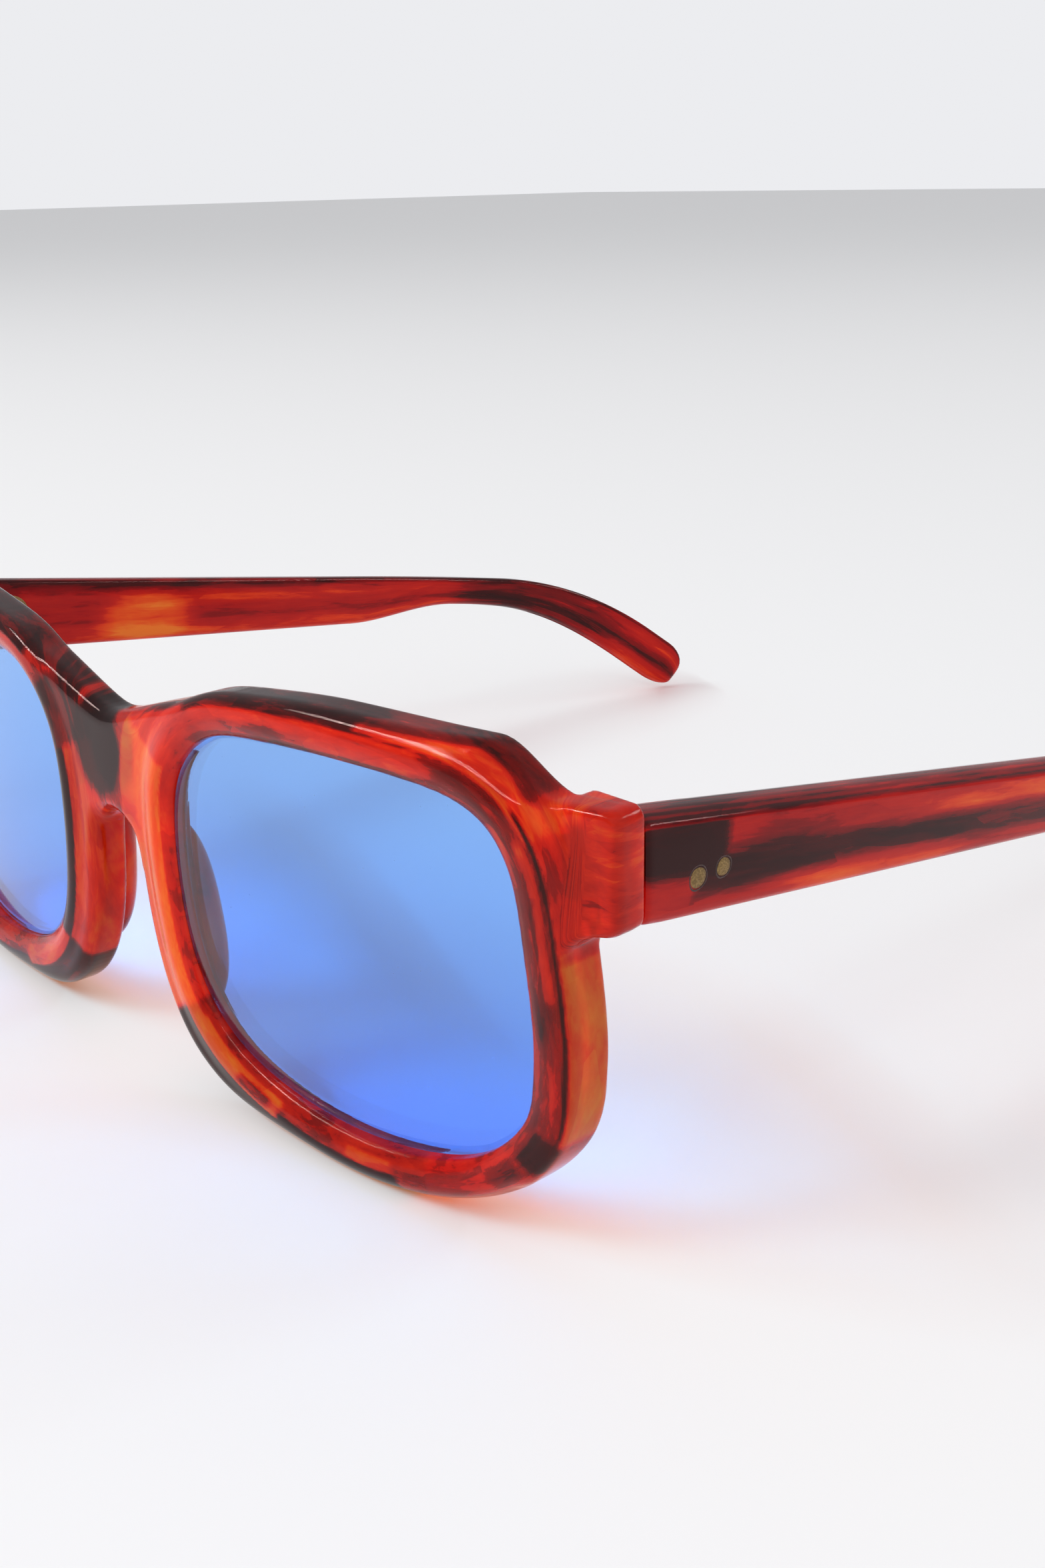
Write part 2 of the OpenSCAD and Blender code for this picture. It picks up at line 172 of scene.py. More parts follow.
def join_round(a, b, r):
    """Union of two distance fields whose shared corner is filled with radius r."""
    corner = np.sqrt(np.maximum(r - a, 0) ** 2 + np.maximum(r - b, 0) ** 2)
    return np.maximum(r, np.minimum(a, b)) - corner


# ---------------------------------------------------------------- meshes
def surface_nets(field, origin, step):
    """Quads and points of the zero surface of a 3-D grid of distances, negative inside."""
    inside = field < 0
    corners = [(i, j, k) for i in (0, 1) for j in (0, 1) for k in (0, 1)]
    shape = [n - 1 for n in field.shape]

    def cell(array, c):
        """The array's values at one corner of every cell."""
        return array[c[0]:c[0] + shape[0], c[1]:c[1] + shape[1], c[2]:c[2] + shape[2]]

    count = sum(cell(inside, c).astype(np.int8) for c in corners)
    active = (count > 0) & (count < 8)
    number = np.full(shape, -1, np.int64)
    number[active] = np.arange(active.sum())
    place = np.zeros((active.sum(), 3))
    hits = np.zeros(active.sum())
    for a in corners:
        for axis in range(3):
            if a[axis]:
                continue
            b = tuple(v + (axis == n) for n, v in enumerate(a))
            fa, fb = cell(field, a)[active], cell(field, b)[active]
            crossed = (fa < 0) != (fb < 0)
            share = np.where(crossed, fa / np.where(crossed, fa - fb, 1), 0)
            point = np.tile(np.array(a, float), (len(fa), 1))
            point[:, axis] += share
            place += point * crossed[:, None]
            hits += crossed
    points = (np.argwhere(active) + place / hits[:, None]) * step + origin
    quads = []
    for axis in range(3):
        other = [n for n in range(3) if n != axis]
        here = [slice(None)] * 3
        there = [slice(None)] * 3
        here[axis], there[axis] = slice(None, -1), slice(1, None)
        for n in other:
            here[n] = there[n] = slice(1, -1)
        low, high = inside[tuple(here)], inside[tuple(there)]
        crossed = np.argwhere(low != high)
        base = crossed.copy()
        for n in other:
            base[:, n] += 1
        forward = low[tuple(crossed.T)]
        if axis == 1:
            forward = ~forward
        around = []
        for d in ((-1, -1), (0, -1), (0, 0), (-1, 0)):
            index = base.copy()
            index[:, other[0]] += d[0]
            index[:, other[1]] += d[1]
            around.append(number[tuple(index.T)])
        quad = np.stack(around, 1)
        quad[~forward] = quad[~forward][:, ::-1]
        quads.append(quad)
    return points, np.concatenate(quads)


def mesh_object(name, points, faces, smooth=True):
    """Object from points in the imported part's frame, in metres, and faces of equal or mixed size."""
    mesh = bpy.data.meshes.new(name)
    mesh.from_pydata([tuple(p) for p in points], [], [tuple(int(i) for i in f) for f in faces])
    skin = bmesh.new()
    skin.from_mesh(mesh)
    bmesh.ops.recalc_face_normals(skin, faces=skin.faces)
    skin.to_mesh(mesh)
    skin.free()
    mesh.polygons.foreach_set("use_smooth", [smooth] * len(mesh.polygons))
    mesh.update()
    piece = bpy.data.objects.new(name, mesh)
    bpy.context.scene.collection.objects.link(piece)
    return piece


def add_values(piece, name, values):
    """Stores one number per point for the material."""
    layer = piece.data.attributes.new(name, "FLOAT", "POINT")
    layer.data.foreach_set("value", np.asarray(values, np.float32))


def add_vectors(piece, name, values):
    """Stores one vector per point for the material."""
    layer = piece.data.attributes.new(name, "FLOAT_VECTOR", "POINT")
    layer.data.foreach_set("vector", np.asarray(values, np.float32).ravel())


def ring_faces(ring_count, point_count, first=0):
    """Quads between neighbouring closed rings of points."""
    faces = []
    for r in range(ring_count - 1):
        for k in range(point_count):
            a = first + r * point_count + k
            b = first + r * point_count + (k + 1) % point_count
            faces.append((a, b, b + point_count, a + point_count))
    return faces


def loft(name, rings):
    """Closed skin through rings of points, with a fan at each end."""
    rings = np.array(rings, float)
    ring_count, point_count = rings.shape[:2]
    points = np.concatenate([rings.reshape(-1, 3), [rings[0].mean(0)], [rings[-1].mean(0)]])
    faces = ring_faces(ring_count, point_count)
    first, last = len(points) - 2, len(points) - 1
    offset = (ring_count - 1) * point_count
    for k in range(point_count):
        after = (k + 1) % point_count
        faces.append((first, after, k))
        faces.append((last, offset + k, offset + after))
    return mesh_object(name, placed(points), faces)


def relax(points, faces, rounds, strength=0.5):
    """Evens out a quad mesh by moving each point towards the mean of its neighbours."""
    edges = np.concatenate([faces[:, [n, (n + 1) % 4]] for n in range(4)])
    edges = np.unique(np.sort(edges, 1), axis=0)
    degree = np.bincount(edges.ravel(), minlength=len(points))[:, None]
    for step in range(rounds):
        total = np.zeros_like(points)
        for n in range(3):
            total[:, n] = np.bincount(edges[:, 0], points[edges[:, 1], n], len(points))
            total[:, n] += np.bincount(edges[:, 1], points[edges[:, 0], n], len(points))
        amount = strength if step % 2 == 0 else -strength * 1.04
        points = points + amount * (total / degree - points)
    return points


# ---------------------------------------------------------------- the front
STEP = 0.26
# ridge round each lens: how proud it stands, how far its crest is from the opening, and its slopes
RIDGE_PROUD, RIDGE_RISE = 0.35, 0.6
CREST_OUT, CREST_SPREAD = 3.1, 0.9
RIDGE_SLOPE, BEVEL_SLOPE = math.radians(44), math.radians(31)
RIDGE_DISH, BEVEL_DEPTH = 0.12, 1.1
CREST_R, VALLEY_R, LIP_R, BACK_R, BLOCK_R, SEAM_R = 1.0, 0.8, 0.45, 1.0, 0.3, 0.25
ROLL_R, ROLL_CRISPER = 1.7, 1.0
# how far the lower face is set back, and the block behind each endpiece
FACE_BACK, BROW_BACK, BRIDGE_BACK = 0.15, 1.15, 0.35
BLOCK_FRONT = 2.2
JOINT_COSINE = 0.97


def front_outline(u, v):
    """Distance to the outer edge of the front, seen from the front, on arrays of points."""
    d_rim = polygon_distance(RIM_OUTER, u, v)
    d_upper = polygon_distance(upper_outline(), u, v)
    # below the endpiece the corner is filled with a wider round
    foot = ease((u - 56) / 3) * ease((40 - v) / 5)
    return join_round(d_rim, d_upper, 0.5 + 1.9 * foot)


def block_outline(u, v):
    """Distance to the rounded rectangle of the endpiece's block."""
    middle = np.array([(BLOCK_X + END_X) / 2, (END_BOTTOM + END_TOP) / 2])
    half = np.array([(END_X - BLOCK_X) / 2, (END_TOP - END_BOTTOM) / 2]) - END_CORNER_R
    over_u, over_v = np.abs(u - middle[0]) - half[0], np.abs(v - middle[1]) - half[1]
    outside = np.sqrt(np.maximum(over_u, 0) ** 2 + np.maximum(over_v, 0) ** 2)
    return outside + np.minimum(np.maximum(over_u, over_v), 0) - END_CORNER_R


def front_field():
    """Distance field of the front in flattened space: across, up and depth behind the curved face."""
    # the grid reaches a little past the front on every side
    across = np.arange(0, END_X + 2.2, STEP)
    up = np.arange(-1.2, RIM_TOP + 1.6, STEP)
    depth = np.arange(-2.2, 8.4, STEP)
    u, v = np.meshgrid(across, up, indexing="ij")
    d_open = polygon_distance(OPENING, u, v)[:, :, None]
    plate = front_outline(u, v)[:, :, None]
    d_block = block_outline(u, v)[:, :, None]
    u, v, w = u[:, :, None], v[:, :, None], depth[None, None, :]

    # Ridge round each lens: a slightly dished face, a rounded crest and a slope on its outer side
    proud = RIDGE_PROUD + RIDGE_RISE * ease((u - 20) / 26)
    crest = CREST_OUT + CREST_SPREAD * ease((u - 55) / 4)
    inner = -(w + proud - RIDGE_DISH * (crest - d_open))
    outer = (d_open - crest) * math.sin(RIDGE_SLOPE) - (w + proud) * math.cos(RIDGE_SLOPE)
    ridge = cut_round(inner, outer, CREST_R)
    # Lower face beyond the ridge, set back at the bridge, the brow corners and the endpieces
    set_back = FACE_BACK + BRIDGE_BACK * ease((14 - u) / 12) + BROW_BACK * ease((u - 46) / 10)
    face = join_round(ridge, set_back - w, VALLEY_R)
    # Bevel that leads down to the lens
    bevel = -((w + proud - BEVEL_DEPTH) * math.cos(BEVEL_SLOPE) + d_open * math.sin(BEVEL_SLOPE))
    face = cut_round(face, bevel, LIP_R)
    # Rolled outer edge, crisper at the endpiece
    face = cut_round(face, plate, ROLL_R - ROLL_CRISPER * ease((u - 56) / 3))
    shell = cut_round(face, w - FRONT_T, BACK_R)

    # Block behind each endpiece, whose back is the flat joint
    joint = (w + wrap_y(np.minimum(u, END_X + 2)) - JOINT_Y) * JOINT_COSINE
    block = cut_round(np.maximum(BLOCK_FRONT - w, d_block), joint, BLOCK_R)
    solid = join_round(shell, block, SEAM_R)
    # Opening for the lens
    solid = cut_round(solid, -d_open, SEAM_R)
    return across, up, depth, solid


def front_points():
    """Points and faces of the front: drawn flat, mirrored, evened out and laid on the curve."""
    across, up, depth, half = front_field()
    both = np.concatenate([half[:0:-1], half])
    origin = np.array([-across[-1], up[0], depth[0]])
    points, faces = surface_nets(both, origin, STEP)
    points = relax(points, faces, 4, 0.55)
    u, v, w = points.T
    space = np.stack([u, w + wrap_y(u), v], 1)
    return space, faces, u, v, w


def near(u, v, centre, size, tilt=0.0):
    """1 at the centre of a soft oval patch and 0 outside it."""
    c, s = math.cos(tilt), math.sin(tilt)
    a = ((u - centre[0]) * c + (v - centre[1]) * s) / size[0]
    b = (-(u - centre[0]) * s + (v - centre[1]) * c) / size[1]
    return 1 - ease((np.sqrt(a * a + b * b) - 0.55) / 0.6)


def arc_window(angle, middle, half, soft=3.0):
    """1 within half degrees of a direction from the lens centre, fading out over a few degrees."""
    off = np.abs((angle - middle + 180) % 360 - 180)
    return 1 - ease((off - half) / soft + 0.5)


def band_window(value, low, high, soft=0.3):
    """1 between two distances, fading out over a soft edge."""
    return ease((value - low) / soft + 0.5) * ease((high - value) / soft + 0.5)


# Patches of colour round the lenses, painted one over the other: direction from the lens centre and half
# its spread in degrees (0 is outward, 90 up, 180 to the nose), distances from the lens, and tone
LEFT_PATCHES = [
    (95, 42, -1, 0.8, 0.34), (95, 36, 0.8, 3.3, 0.55), (95, 38, 3.3, 12, 0.20),
    (68, 9, 3.5, 5.2, 0.60), (112, 10, 0.9, 2.2, 0.44),
    (44, 15, -1, 3.5, 0.33), (53, 19, 3.5, 12, 0.70), (60, 5, 1.3, 2.6, 0.50), (34, 6, 0.6, 1.5, 0.58),
    # the thin dark band 3.75 to 4.05 mm out on the outer side is painted shade in the crease between the
    # crest and the endpiece
    (0, 34, -1, 1.2, 0.44), (0, 34, 1.2, 3.7, 0.35), (20, 15, 2.4, 3.4, 0.56), (4, 36, 3.75, 4.05, 0.18),
    (-16, 8, 1.6, 3.0, 0.40), (-12, 26, 4.1, 9, 0.88), (-50, 18, 1.0, 9, 0.47), (-28, 4, 1.7, 4.3, 0.13),
    (-38, 4, 1.2, 3.4, 0.30), (-84, 30, -1, 1.9, 0.46), (-97, 28, 2.1, 9, 0.08), (-78, 8, 0.8, 2.0, 0.66),
    (-134, 22, 0.8, 3.0, 0.80), (-132, 24, 3.0, 9, 0.10), (-122, 6, 1.4, 2.6, 0.40),
    (180, 30, 1.1, 9, 0.82), (180, 34, -1, 1.1, 0.50), (142, 8, 1.0, 6, 0.56),
]
RIGHT_PATCHES = [
    (100, 34, 3.0, 12, 0.20), (92, 24, 0.8, 3.0, 0.50), (44, 16, 0.8, 9, 0.66), (66, 6, 0.8, 4.5, 0.22),
    (-4, 30, 0.9, 3.7, 0.34), (2, 32, 3.9, 9, 0.78), (-30, 8, 1.2, 6, 0.16), (-88, 28, -1, 2.2, 0.46),
    (-88, 32, 2.2, 9, 0.10), (-136, 20, 0.9, 3.4, 0.70), (-136, 22, 3.4, 9, 0.16), (180, 30, 3.4, 9, 0.64),
    (184, 26, -1, 3.4, 0.14), (150, 8, 1.2, 9, 0.30),
]


def front_tones(u, v, w, d_open, inset):
    """Tone at each point of the front, from 0, the darkest brown, to 1, the clearest amber.

    The point is given across, up and behind the face, then by its distances from the lens and the outer edge.
    """
    side = np.abs(u)
    angle = np.degrees(np.arctan2(v - LENS_Z, side - LENS_X))
    tone = np.full(u.shape, 0.50)
    for patches, where in ((LEFT_PATCHES, u > 0), (RIGHT_PATCHES, u <= 0)):
        for middle, half, low, high, value in patches:
            window = where * arc_window(angle, middle, half) * band_window(d_open, low, high)
            tone += (value - tone) * window
    # clear red endpieces, painted lighter towards the back as a painted highlight of light reflected inside
    # the block, and a brown tongue at the foot
    block = ease((side - 62.3) / 0.5) * ease((v - 31.5) / 1.2)
    tone += (0.54 - tone) * block
    # painted highlight: the back of the block is made lighter, for light reflected inside the clear endpiece
    tone += 0.12 * block * near(w, v, (5.0, 39.0), (2.2, 2.4))
    tone -= 0.40 * near(side, v, (62.9, 30.2), (1.2, 0.8), math.radians(24))
    # dark on the bridge
    tone -= 0.75 * near(u, v, (-1.5, 36.2), (4.6, 6.2), math.radians(-12))
    # the rolled top edge is dark from the bridge to the brow corner
    rolled = ease((0.8 - inset) / 0.4) * ease((v - 41) / 2) * ease((60 - side) / 2)
    tone += (0.20 - tone) * 0.75 * rolled
    return np.clip(tone, 0, 1)


def build_front():
    """The one-piece front with both rims, the bridge and the endpieces."""
    space, faces, u, v, w = front_points()
    piece = mesh_object("front_acetate", placed(space), faces)
    side = np.abs(u)
    d_open = polygon_distance(OPENING, side, v)
    inset = -front_outline(side, v)
    add_values(piece, "tone", front_tones(u, v, w, d_open, inset))
    # streaks run round the lenses, differ between the two sides and lie level in the endpieces
    angle = np.arctan2(v - LENS_Z, side - LENS_X)
    other_side = 9 * ease((u + 8) / 16)
    ring = np.stack([3.2 * np.cos(angle), 3.2 * np.sin(angle), 0.6 * d_open + 0.25 * w + other_side], 1)
    level = np.stack([0.16 * w, 0.62 * v, 0.2 * side + other_side], 1)
    share = ease((side - 61.8) / 1.2) * ease((v - 31) / 1.5)
    streak = ring + (level - ring) * share[:, None]
    add_vectors(piece, "streak", streak)
    return piece


# ---------------------------------------------------------------- lenses and pads
LENS_R, LENS_T, LENS_BACK = 180.0, 3.0, 0.5
BEVEL_OUT, BEVEL_FRONT, BEVEL_REAR = 0.8, 1.05, 1.95
PAD_LEN, PAD_HALF_W, PAD_HEIGHT = 21.0, 3.15, 3.2
PAD_LEAN = math.radians(10)
PAD_RISE = 6.0


def lens_depth(x, z):
    """Distance of the lens's front surface behind Y = 0."""
    turn = math.asin(LENS_X / WRAP_R)
    reach = LENS_R - WRAP_R + LENS_BACK
    centre = np.array([-reach * math.sin(turn), WRAP_R + reach * math.cos(turn)])
    return centre[1] - np.sqrt(LENS_R**2 - (x - centre[0]) ** 2 - (z - LENS_Z) ** 2)


def build_lens(side):
    """Curved lens: two spherical faces with a bevelled edge that sits in the rim."""
    turn = 1 if side == "left" else -1
    rim = OPENING + 0.1 * outward(OPENING)
    bevel = OPENING + BEVEL_OUT * outward(OPENING)
    centre = np.array([LENS_X, LENS_Z])
    shares = np.concatenate([np.linspace(0.06, 0.94, 20), [0.97, 1.0]])
    rings = []
    for share in shares:
        ring = centre + (rim - centre) * share
        depth = lens_depth(ring[:, 0], ring[:, 1])
        rings.append(np.stack([ring[:, 0], depth, ring[:, 1]], 1))
    for back in (BEVEL_FRONT, BEVEL_REAR):
        depth = lens_depth(bevel[:, 0], bevel[:, 1]) + back
        rings.append(np.stack([bevel[:, 0], depth, bevel[:, 1]], 1))
    for share in shares[::-1]:
        ring = centre + (rim - centre) * share
        depth = lens_depth(ring[:, 0], ring[:, 1]) + LENS_T
        rings.append(np.stack([ring[:, 0], depth, ring[:, 1]], 1))
    rings = np.array(rings) * [turn, 1, 1]
    if turn < 0:
        rings = rings[:, ::-1]
    return loft(f"tinted_lens_{side}", rings)


def build_pad(side):
    """Long pad built up behind the nose side of the rim."""
    turn = 1 if side == "left" else -1
    top = np.array([OPEN_OUTER - OPEN_W - RIM_W / 2 - NOSE_EXTRA / 2 + 0.1, LENS_Z + PAD_RISE])
    downward = np.array([math.sin(PAD_LEAN), -math.cos(PAD_LEAN)])
    around = 28
    rings = []
    for t in np.linspace(0, 1, 34):
        # share of the full section, which closes in a blunt oval at both ends
        swell = max(math.sqrt(max(0.0, 1 - abs(2 * t - 1) ** 2.6)), 0.02)
        along = top + PAD_LEN * t * downward
        height = PAD_HEIGHT * swell * (0.88 + 0.12 * t)
        ring = []
        for k in range(around):
            a = 2 * math.pi * k / around
            out = math.copysign(abs(math.sin(a)) ** 0.85, math.sin(a))
            across = PAD_HALF_W * swell * math.cos(a)
            back = height * max(out, 0) - 0.35 * max(-out, 0)
            x = along[0] + across * math.cos(PAD_LEAN)
            z = along[1] + across * math.sin(PAD_LEAN)
            ring.append((turn * x, float(wrap_y(along[0])) + FRONT_T + back, z))
        rings.append(ring if turn > 0 else ring[::-1])
    piece = loft(f"glued_nose_pad_{side}", rings)
    points = np.array([v.co for v in piece.data.vertices]) * 1000 - SHIFT
    tone = 0.62 + 0.15 * np.sin(points[:, 2] * 0.45)
    add_values(piece, "tone", np.clip(tone, 0, 1))
    add_vectors(piece, "streak", points * [0.3, 0.3, 0.12])
    return piece


# ---------------------------------------------------------------- temples
def bend_at(s):
    """Angle by which a temple has turned down, at a distance s along it."""
    return np.clip((s - STRAIGHT) / BEND_R, 0, BEND)


def top_edge(s):
    """Top edge of a temple from the side, as (y, z), at a distance s along it."""
    bent = bend_at(s)
    past = max(0.0, s - STRAIGHT - BEND_R * BEND)
    reach = min(s, STRAIGHT)
    y = TEMPLE_Y + reach * math.cos(SLOPE) + BEND_R * (math.sin(SLOPE + bent) - math.sin(SLOPE))
    z = TEMPLE_TOP - reach * math.sin(SLOPE) - BEND_R * (math.cos(SLOPE) - math.cos(SLOPE + bent))
    return np.array([y + past * math.cos(SLOPE + bent), z - past * math.sin(SLOPE + bent)])


BEND_END = STRAIGHT + BEND_R * BEND
TIP_ANGLE = SLOPE + BEND
TIP_LEN = (top_edge(BEND_END)[1] - PADDLE_H * math.cos(TIP_ANGLE)) / math.sin(TIP_ANGLE)
TEMPLE_LEN = BEND_END + TIP_LEN


def temple_height(s):
    """Height of a temple: it tapers slowly, narrows to a neck and widens to the paddle."""
    neck_end = max(STRAIGHT - 8, BROAD + NECK_TAPER)
    broad = TEMPLE_H + (MID_H - TEMPLE_H) * s / BROAD
    narrow = MID_H + (NECK_H - MID_H) * ease((s - BROAD) / NECK_TAPER)
    paddle = NECK_H + (PADDLE_H - NECK_H) * ease((s - neck_end) / (BEND_END - neck_end))
    return float(broad if s < BROAD else narrow if s < neck_end else paddle)


CURVE_Y = TEMPLE_Y + BROAD
END_Y = top_edge(TEMPLE_LEN)[0]


def outer_x(y):
    """Outer face of a temple: straight and slightly splayed, then curving in behind the ear."""
    straight = END_X + (min(y, CURVE_Y) - TEMPLE_Y) * math.tan(SPLAY)
    past = max(0.0, y - CURVE_Y)
    curve = TIP_CURVE_R - math.sqrt(TIP_CURVE_R**2 - past * past)
    return straight + past * math.tan(SPLAY) - curve


def thickness(y):
    """Thickness of a temple, which thins evenly to the tip."""
    share = float(np.clip((y - TEMPLE_Y) / (END_Y - TEMPLE_Y), 0, 1))
    return TEMPLE_T + (TIP_T - TEMPLE_T) * share


def rounded_ring(corners, per_corner=5, per_side=4):
    """Closed ring through corners given as (x, y, size of the rounding)."""
    corners = np.array(corners, float)
    places, sizes = corners[:, :2], corners[:, 2]
    ends = []
    for k, (place, size) in enumerate(zip(places, sizes)):
        before = places[k - 1] - place
        after = places[(k + 1) % len(places)] - place
        start = place + size * before / np.linalg.norm(before)
        end = place + size * after / np.linalg.norm(after)
        ends.append((start, end))
    ring = []
    for k, (start, end) in enumerate(ends):
        for t in np.linspace(0, 1, per_corner):
            ring.append(start * (1 - t) ** 2 + places[k] * 2 * t * (1 - t) + end * t * t)
        onward = ends[(k + 1) % len(ends)][0]
        for t in np.arange(1, per_side) / per_side:
            ring.append(end * (1 - t) + onward * t)
    return np.array(ring)


def temple_section(thick, tall, soft):
    """Section of a temple as (inward, down): a facet slopes from the crease on the outer side to the top."""
    crown = CROWN * (1 - 0.6 * soft)
    low_r = min(1.3 + 0.5 * soft, 0.4 * tall)
    ring = rounded_ring([
        (0, crown, 0.4 + 0.6 * soft), (1.5, 0, 0.9), (thick, 0, 0.8), (thick, tall, low_r), (0, tall, low_r),
    ])
    # the long sides are very slightly domed
    middle = 1 - (2 * ring[:, 1] / tall - 1) ** 2
    ring[:, 0] += DOME * (1 - middle) * (1 - 2 * ring[:, 0] / thick)
    return ring


def temple_stations():
    """Distances along a temple at which its sections are drawn, closer together at both ends."""
    near_hinge = [0.0, 0.12, 0.35, 0.7, 1.2, 2.0, 3.2]
    middle = list(np.arange(5, TEMPLE_LEN - 6, 1.6))
    tip = [TEMPLE_LEN - d for d in (5.2, 4.2, 3.3, 2.5, 1.8, 1.2, 0.7, 0.3, 0.08)]
    return near_hinge + middle + tip


def closing(distance, reach):
    """Share of the full section at a distance from an end that closes in a quarter ellipse."""
    return math.sqrt(max(0.0, 1 - (1 - min(distance, reach) / reach) ** 2))


def build_temple(side):
    """One temple, lofted through sections from the hinge to the tip."""
    turn = 1 if side == "left" else -1
    rings, along, height_share, inward = [], [], [], []
    for s in temple_stations():
        top = top_edge(s)
        tall = temple_height(s)
        thick = thickness(top[0])
        lean = (SLOPE + float(bend_at(s))) * float(ease(s / 6.0))
        section = temple_section(thick - DOME, tall, float(ease((s - BROAD) / 40)))
        share = section[:, 1] / tall
        middle = np.array([(thick - DOME) / 2, tall / 2])
        # the front end is squared off with a hair of rounding, and the tip closes like a leaf
        from_end = TEMPLE_LEN - s
        across_share = max(closing(from_end, 2.5), 0.05)
        tall_share = max(closing(from_end, 5.2) ** 0.9, 0.05)
        scale = np.array([across_share, tall_share])
        scale -= 0.44 * (1 - closing(s, 0.7)) / np.array([thick, tall])
        drop = np.array([0, 0.22 * tall * (1 - tall_share)])
        section = middle + drop + (section - middle) * scale
        y = top[0] - section[:, 1] * math.sin(lean)
        # no section near the hinge reaches past the flat joint
        if s < 6:
            y = np.maximum(y, TEMPLE_Y + min(s, 0.35) * 0.5)
        z = top[1] - section[:, 1] * math.cos(lean)
        x = np.array([outer_x(value) for value in y]) - section[:, 0]
        rings.append(np.stack([turn * x, y, z], 1))
        along.append(np.full(len(x), s))
        height_share.append(share)
        inward.append(section[:, 0])
    piece = loft(f"temple_acetate_{side}", rings)
    along = np.append(np.concatenate(along), [0, TEMPLE_LEN])
    height_share = np.append(np.concatenate(height_share), [0.5, 0.5])
    inward = np.append(np.concatenate(inward), [2, 2])
    add_values(piece, "tone", temple_tones(along, height_share, inward, side))
    offset = 0 if side == "left" else 12
    streak = [along * 0.055, height_share * 4.2, inward * 0.3 + offset]
    add_vectors(piece, "streak", np.stack(streak, 1))
    return piece


def temple_tones(s, share, inward, side):
    """Streaks along a temple: red above, a dark band in the middle, red and amber below."""
    tone = np.full(s.shape, 0.56)
    lower = 0.84 - 0.10 * ease((s - 18) / 14) + 0.015 * np.sin(s / 6.0)
    band = ease((share - 0.43) / 0.03 + 0.5) * ease((lower - share) / 0.05 + 0.5)
    band *= ease((s - 8 + 6 * (share - 0.6)) / 0.4)
    tone += (0.17 - tone) * band
    tone += 0.26 * near(s, share, (58, 0.28), (20, 0.13))
    tone += 0.24 * near(s, share, (34, 0.88), (16, 0.11))
    tone -= 0.10 * near(s, share, (20, 0.28), (7, 0.2))
    # the sloping top is dark with thin red lines
    facet = ease((0.105 - share) / 0.02 + 0.5)
    tone += (0.30 + 0.08 * np.sin(inward * 9) - tone) * facet
    # the hinge plate behind shows as a dark block with a hard end
    plate = ease((10.2 - s) / 0.25) * band_window(share, 0.12, 0.64, 0.04)
    tone += (0.07 - tone) * plate
    if side == "right":
        tone += (0.62 - tone) * 0.7 * ease((share - 0.12) / 0.05) * ease((96 - s) / 6)
        tone += 0.36 * near(s, share, (31, 0.62), (9, 0.42))
    tone += (0.22 - tone) * 0.8 * near(s, share, (108, 0.5), (18, 0.9))
    tone += 0.10 * ease((s - 126) / 8)
    return np.clip(tone, 0, 1)


# ---------------------------------------------------------------- metal
RIVET_NAMES = ("front_rivet", "rear_rivet")
RIVET_R = (1.02, 0.90)
RIVET_START, RIVET_PITCH = 6.2, 3.2
RIVET_DROP, RIVET_STAGGER = 0.9, 0.3
RIVET_SLOPE = SLOPE - math.radians(1)


def rivet_place(k):
    """Centre of a rivet on the temple's outer face, and that face's normal, on the wearer's left."""
    along = RIVET_START + RIVET_PITCH * k
    y = TEMPLE_Y + along
    z = HINGE_Z - RIVET_DROP - along * math.tan(RIVET_SLOPE)
    z += (2 * k - 1) * RIVET_STAGGER
    normal = np.array([math.cos(SPLAY), -math.sin(SPLAY), 0.0])
    return np.array([outer_x(y), y, z]), normal


def turned(name, centre, normal, profile, turn, wobble, seed, count=36):
    """Slightly uneven lathe piece: profile is (radius, height along the normal), from the top down."""
    rng = np.random.default_rng(seed)
    up = np.array([0.0, 0.0, 1.0])
    side = np.cross(up, normal)
    side /= np.linalg.norm(side)
    phase = rng.uniform(0, 2 * math.pi, 3)
    rings = []
    for r, h in profile:
        ring = []
        for k in range(count):
            a = 2 * math.pi * k / count
            bump = sum(math.sin((n + 2) * a + phase[n]) for n in range(3)) * wobble
            reach = r * (1 + bump)
            spoke = side * reach * math.cos(a) + up * reach * math.sin(a)
            x, y, z = centre + normal * (h + bump * 0.25) + spoke
            ring.append((turn * x, y, z))
        rings.append(ring[::-1] if turn > 0 else ring)
    return loft(name, rings)


def build_rivet(side, k):
    """A rivet with a hammered, slightly domed head."""
    turn = 1 if side == "left" else -1
    centre, normal = rivet_place(k)
    r = RIVET_R[k]
    head = [(0.02, 0.05), (0.3 * r, 0.06), (0.62 * r, 0.05), (0.88 * r, 0.03), (0.97 * r, -0.04)]
    profile = head + [(r, -0.25), (0.7, -0.6), (0.7, -4.3), (0.02, -4.3)]
    return turned(f"{RIVET_NAMES[k]}_head_{side}", centre, normal, profile, turn, wobble=0.012, seed=k + 3)


def build_rivet_seat(side, k):
    """Thin dark ring round a rivet."""
    turn = 1 if side == "left" else -1
    centre, normal = rivet_place(k)
    r = RIVET_R[k]
    inner, outer = r + 0.02, r + 0.2
    top = [(r + 0.05, 0.015), (r + 0.12, 0.02)]
    profile = [(inner, -0.25), (inner, -0.04), *top, (outer, -0.05), (outer, -0.3)]
    return turned(f"rivet_seat_{k}_{side}", centre, normal, profile, turn, wobble=0.02, seed=k + 9)


# ---------------------------------------------------------------- materials
def new_material(name):
    """Material with its nodes, links and Principled shader."""
    material = bpy.data.materials.new(name)
    material.use_nodes = True
    nodes = material.node_tree.nodes
    shader = next(n for n in nodes if n.type == "BSDF_PRINCIPLED")
    return material, nodes, material.node_tree.links, shader


